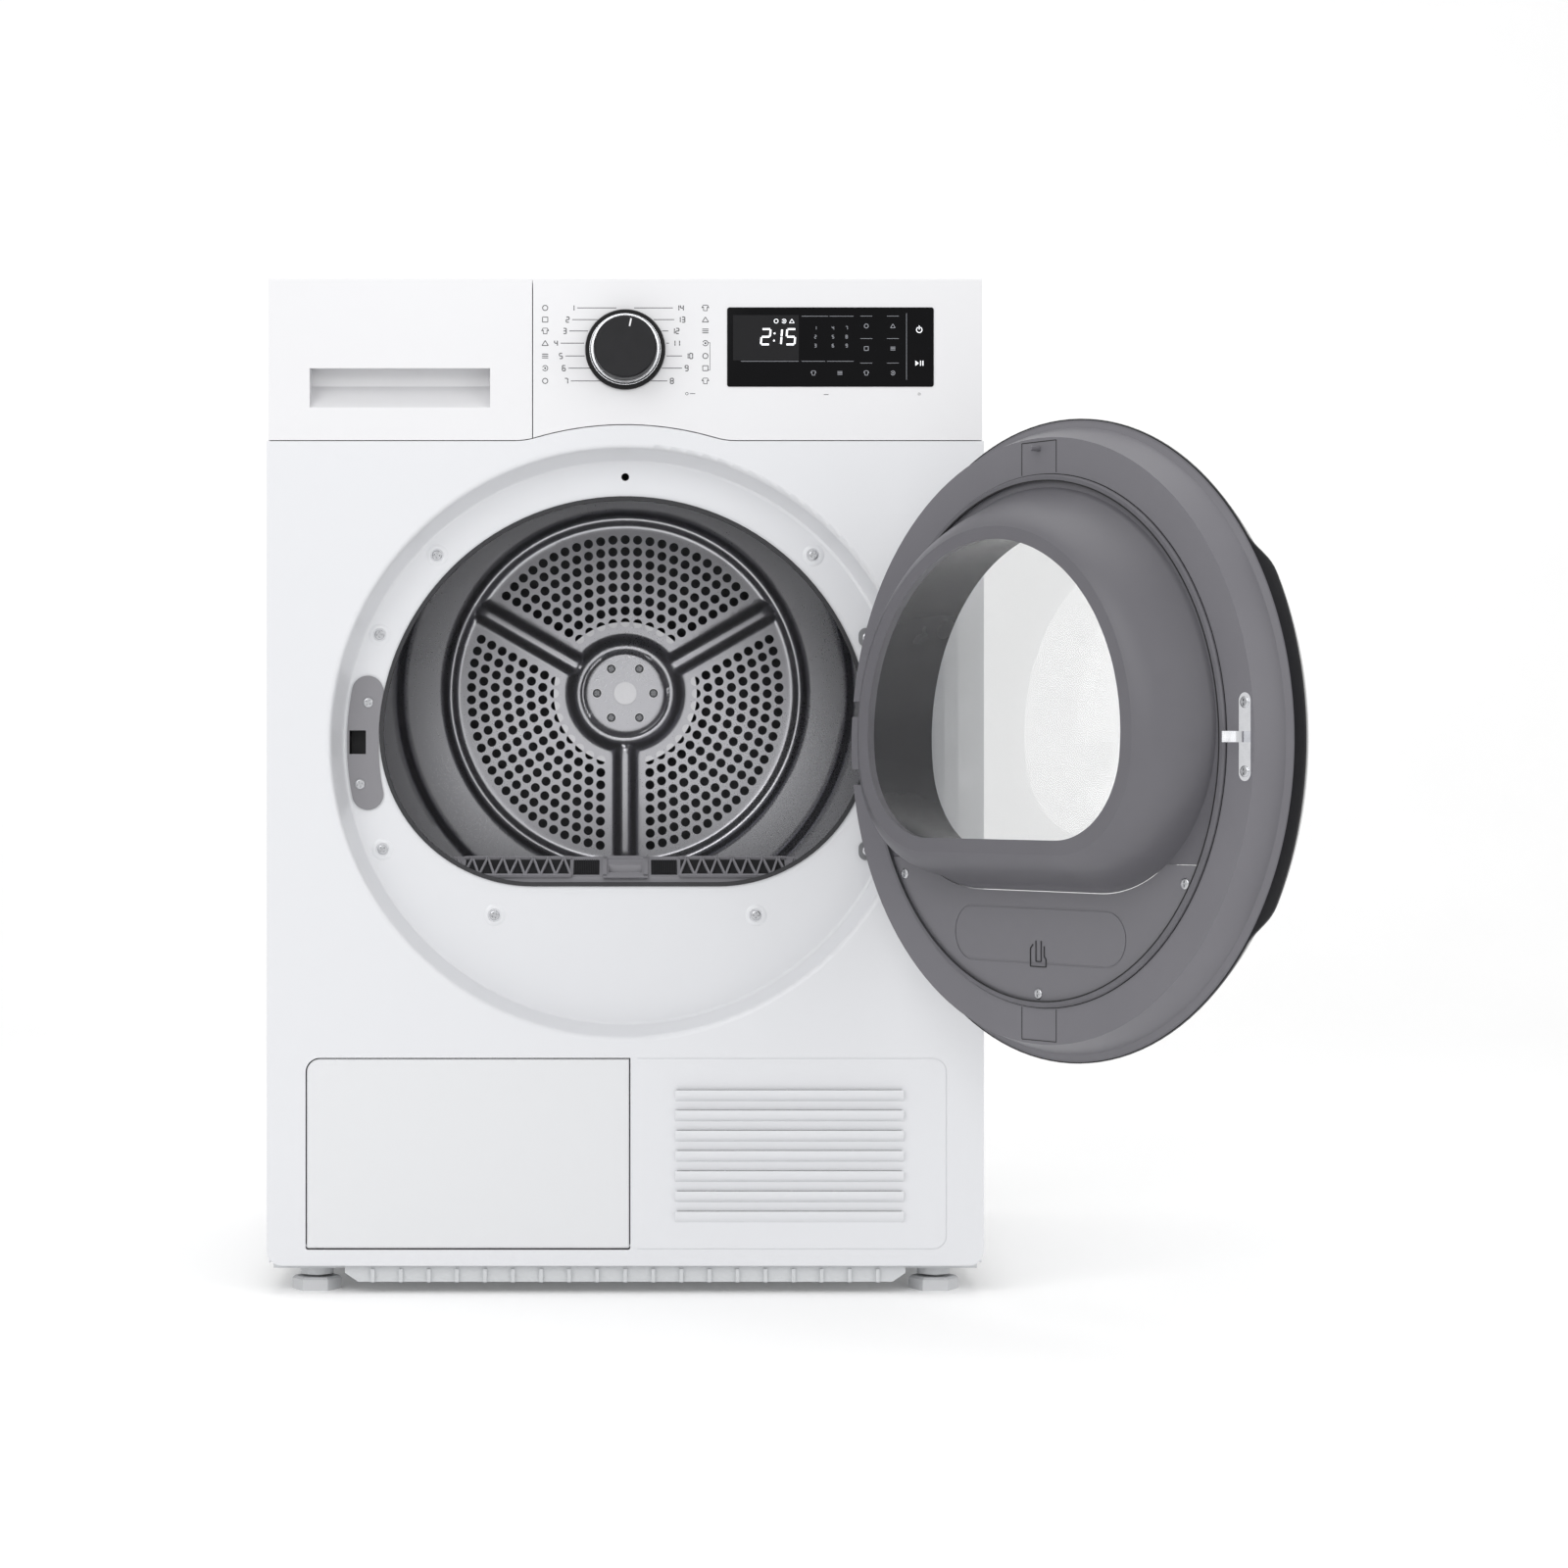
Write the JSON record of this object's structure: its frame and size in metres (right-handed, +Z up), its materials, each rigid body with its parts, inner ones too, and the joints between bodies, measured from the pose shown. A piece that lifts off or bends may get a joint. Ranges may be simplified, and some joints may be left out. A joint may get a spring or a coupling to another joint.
{
  "type": "clothes dryer",
  "caption": "Front-loading condenser clothes dryer with a side-hung round glass door, control strip, tank drawer, service flap and full inner works.",
  "frame": {"origin": "point on the floor under the middle of the cabinet", "axes": "+X to the right seen from the front, +Y towards the rear, +Z up; millimetres of the build are metres here"},
  "size_m": [0.794, 1.0492, 0.85],
  "materials": {
    "access_flap": "white plastic, matched to the panel",
    "air_duct": "grey moulded plastic",
    "base_tray": "light grey moulded polypropylene, fine texture",
    "blower_wheel": "dark plastic",
    "cabinet_screws": "zinc plated",
    "compressor": "black enamel",
    "condensate_pump": "dark plastic",
    "control_board": "green circuit board",
    "control_panel": "white moulded plastic, satin gloss",
    "cooling_fan": "dark plastic",
    "cooling_fan_frame": "black plastic",
    "cover_lever_left": "blue plastic",
    "cover_lever_right": "blue plastic",
    "display_window": "gloss black",
    "door_collar": "dark grey, glossy inside",
    "door_inner_frame": "mid grey plastic",
    "door_inner_window": "clear glass",
    "door_lock": "black plastic",
    "door_lower_cover": "mid grey plastic",
    "door_outer_frame": "gloss black",
    "door_outer_window": "clear, faintly grey",
    "door_screws": "zinc plated",
    "door_seal": "black rubber",
    "drum_belt": "ribbed black rubber",
    "drum_hub": "stainless sheet, satin",
    "drum_lifters": "grey plastic",
    "drum_rear_wall": "stainless sheet, satin",
    "drum_seals": "wool felt",
    "drum_shell": "stainless sheet, satin",
    "exchanger_cover": "grey plastic",
    "foot_front_left": "light grey plastic",
    "foot_front_right": "light grey plastic",
    "foot_rear_left": "light grey plastic",
    "foot_rear_right": "light grey plastic",
    "front_bulkhead": "grey moulded plastic",
    "front_panel": "white enamel, satin",
    "front_roller_left": "hard rubber tread",
    "front_roller_right": "hard rubber tread",
    "heat_exchanger": "thin fins on copper tube",
    "hinge_bracket": "plain steel",
    "hinge_leaf": "plain steel",
    "idler_arm": "plain steel",
    "idler_pulley": "hard rubber tread",
    "knob_cap": "black, spun face",
    "knob_skirt": "satin chrome ring in black plastic",
    "latch_hook": "bright die casting",
    "lint_filter": "grey plastic frame with fine mesh",
    "lock_plate": "grey plastic",
    "motor_body": "laminated steel and dark casing",
    "motor_shaft": "plain steel",
    "opening_gasket": "grey rubber lip",
    "rear_bearing": "dark metal",
    "rear_fittings": "black plastic",
    "rear_panel": "galvanised sheet, dull",
    "side_panel_left": "white enamel, satin",
    "side_panel_right": "white enamel, satin",
    "tank_front": "white moulded plastic, satin gloss",
    "tank_tray": "grey moulded plastic",
    "top_panel": "white enamel, satin",
    "water_tank": "translucent natural plastic"
  },
  "bodies": {
    "cabinet": {"base_tray": "base_tray", "side_panel_left": "side_panel_left", "side_panel_right": "side_panel_right", "rear_panel": "rear_panel", "top_panel": "top_panel", "front_panel": "front_panel", "control_panel": "control_panel", "display_window": "display_window", "control_board": "control_board", "tank_tray": "tank_tray", "front_bulkhead": "front_bulkhead", "opening_gasket": "opening_gasket", "drum_seals": "drum_seals", "lock_plate": "lock_plate", "door_lock": "door_lock", "hinge_bracket": "hinge_bracket", "rear_bearing": "rear_bearing", "air_duct": "air_duct", "drum_belt": "drum_belt", "motor_body": "motor_body", "compressor": "compressor", "heat_exchanger": "heat_exchanger", "exchanger_cover": "exchanger_cover", "condensate_pump": "condensate_pump", "cooling_fan_frame": "cooling_fan_frame", "cabinet_screws": "cabinet_screws", "rear_fittings": "rear_fittings"},
    "drum": {"drum_shell": "drum_shell", "drum_rear_wall": "drum_rear_wall", "drum_lifters": "drum_lifters", "drum_hub": "drum_hub"},
    "roller_left": {"front_roller_left": "front_roller_left"},
    "roller_right": {"front_roller_right": "front_roller_right"},
    "rotor": {"motor_shaft": "motor_shaft", "blower_wheel": "blower_wheel"},
    "idler_arm": {"idler_arm": "idler_arm"},
    "idler_pulley": {"idler_pulley": "idler_pulley"},
    "cooling_fan": {"cooling_fan": "cooling_fan"},
    "knob": {"knob_skirt": "knob_skirt", "knob_cap": "knob_cap"},
    "tank": {"tank_front": "tank_front", "water_tank": "water_tank"},
    "flap": {"access_flap": "access_flap"},
    "lever_left": {"cover_lever_left": "cover_lever_left"},
    "lever_right": {"cover_lever_right": "cover_lever_right"},
    "lint_filter": {"lint_filter": "lint_filter"},
    "foot_front_left": {"foot_front_left": "foot_front_left"},
    "foot_front_right": {"foot_front_right": "foot_front_right"},
    "foot_rear_left": {"foot_rear_left": "foot_rear_left"},
    "foot_rear_right": {"foot_rear_right": "foot_rear_right"},
    "door": {"door_outer_frame": "door_outer_frame", "door_outer_window": "door_outer_window", "door_inner_frame": "door_inner_frame", "door_collar": "door_collar", "door_inner_window": "door_inner_window", "door_lower_cover": "door_lower_cover", "door_seal": "door_seal", "latch_hook": "latch_hook", "hinge_leaf": "hinge_leaf", "door_screws": "door_screws"}
  },
  "joints": [
    {"name": "door_hinge", "type": "hinge", "parent": "cabinet", "child": "door", "pos_m": [0.227, -0.32, 0.4605], "axis": [0, 0, 1], "range_deg": [-124.5, 25.5]},
    {"name": "drum_spin", "type": "hinge", "parent": "cabinet", "child": "drum", "pos_m": [0, 0, 0.514], "axis": [0, 1, 0], "continuous": true},
    {"name": "roller_left_spin", "type": "hinge", "parent": "cabinet", "child": "roller_left", "pos_m": [-0.16352, -0.201, 0.24185], "axis": [0, 1, 0], "continuous": true},
    {"name": "roller_right_spin", "type": "hinge", "parent": "cabinet", "child": "roller_right", "pos_m": [0.16352, -0.201, 0.24185], "axis": [0, 1, 0], "continuous": true},
    {"name": "motor_spin", "type": "hinge", "parent": "cabinet", "child": "rotor", "pos_m": [0.15, 0, 0.13], "axis": [0, 1, 0], "continuous": true},
    {"name": "idler_swing", "type": "hinge", "parent": "cabinet", "child": "idler_arm", "pos_m": [0.072, 0, 0.108], "axis": [0, -1, 0], "range_deg": [0, 8]},
    {"name": "idler_spin", "type": "hinge", "parent": "idler_arm", "child": "idler_pulley", "pos_m": [0.026, 0, 0.17], "axis": [0, 1, 0], "continuous": true},
    {"name": "fan_spin", "type": "hinge", "parent": "cabinet", "child": "cooling_fan", "pos_m": [0.137, -0.26, 0.116], "axis": [0, 1, 0], "continuous": true},
    {"name": "knob_turn", "type": "hinge", "parent": "cabinet", "child": "knob", "pos_m": [0, -0.3, 0.79], "axis": [0, 1, 0], "continuous": true},
    {"name": "tank_slide", "type": "slide", "parent": "cabinet", "child": "tank", "axis": [0, -1, 0], "range_m": [0, 0.45]},
    {"name": "flap_hinge", "type": "hinge", "parent": "cabinet", "child": "flap", "pos_m": [-0.1316, -0.2968, 0.0404], "axis": [1, 0, 0], "range_deg": [0, 90]},
    {"name": "lever_left_turn", "type": "hinge", "parent": "cabinet", "child": "lever_left", "pos_m": [-0.236, -0.28, 0.119], "axis": [0, 1, 0], "range_deg": [0, 90]},
    {"name": "lever_right_turn", "type": "hinge", "parent": "cabinet", "child": "lever_right", "pos_m": [-0.03, -0.28, 0.119], "axis": [0, 1, 0], "range_deg": [0, 90]},
    {"name": "filter_lift", "type": "slide", "parent": "cabinet", "child": "lint_filter", "axis": [0, 0, 1], "range_m": [0, 0.16]},
    {"name": "foot_front_left_screw", "type": "slide", "parent": "cabinet", "child": "foot_front_left", "axis": [0, 0, -1], "range_m": [0, 0.015]},
    {"name": "foot_front_right_screw", "type": "slide", "parent": "cabinet", "child": "foot_front_right", "axis": [0, 0, -1], "range_m": [0, 0.015]},
    {"name": "foot_rear_left_screw", "type": "slide", "parent": "cabinet", "child": "foot_rear_left", "axis": [0, 0, -1], "range_m": [0, 0.015]},
    {"name": "foot_rear_right_screw", "type": "slide", "parent": "cabinet", "child": "foot_rear_right", "axis": [0, 0, -1], "range_m": [0, 0.015]}
  ],
  "couplings": [
    {"joint": "roller_left_spin", "follows": "drum_spin", "ratio": -9.5833},
    {"joint": "roller_right_spin", "follows": "drum_spin", "ratio": -9.5833},
    {"joint": "motor_spin", "follows": "drum_spin", "ratio": 30.914},
    {"joint": "idler_spin", "follows": "drum_spin", "ratio": -20.105}
  ]
}
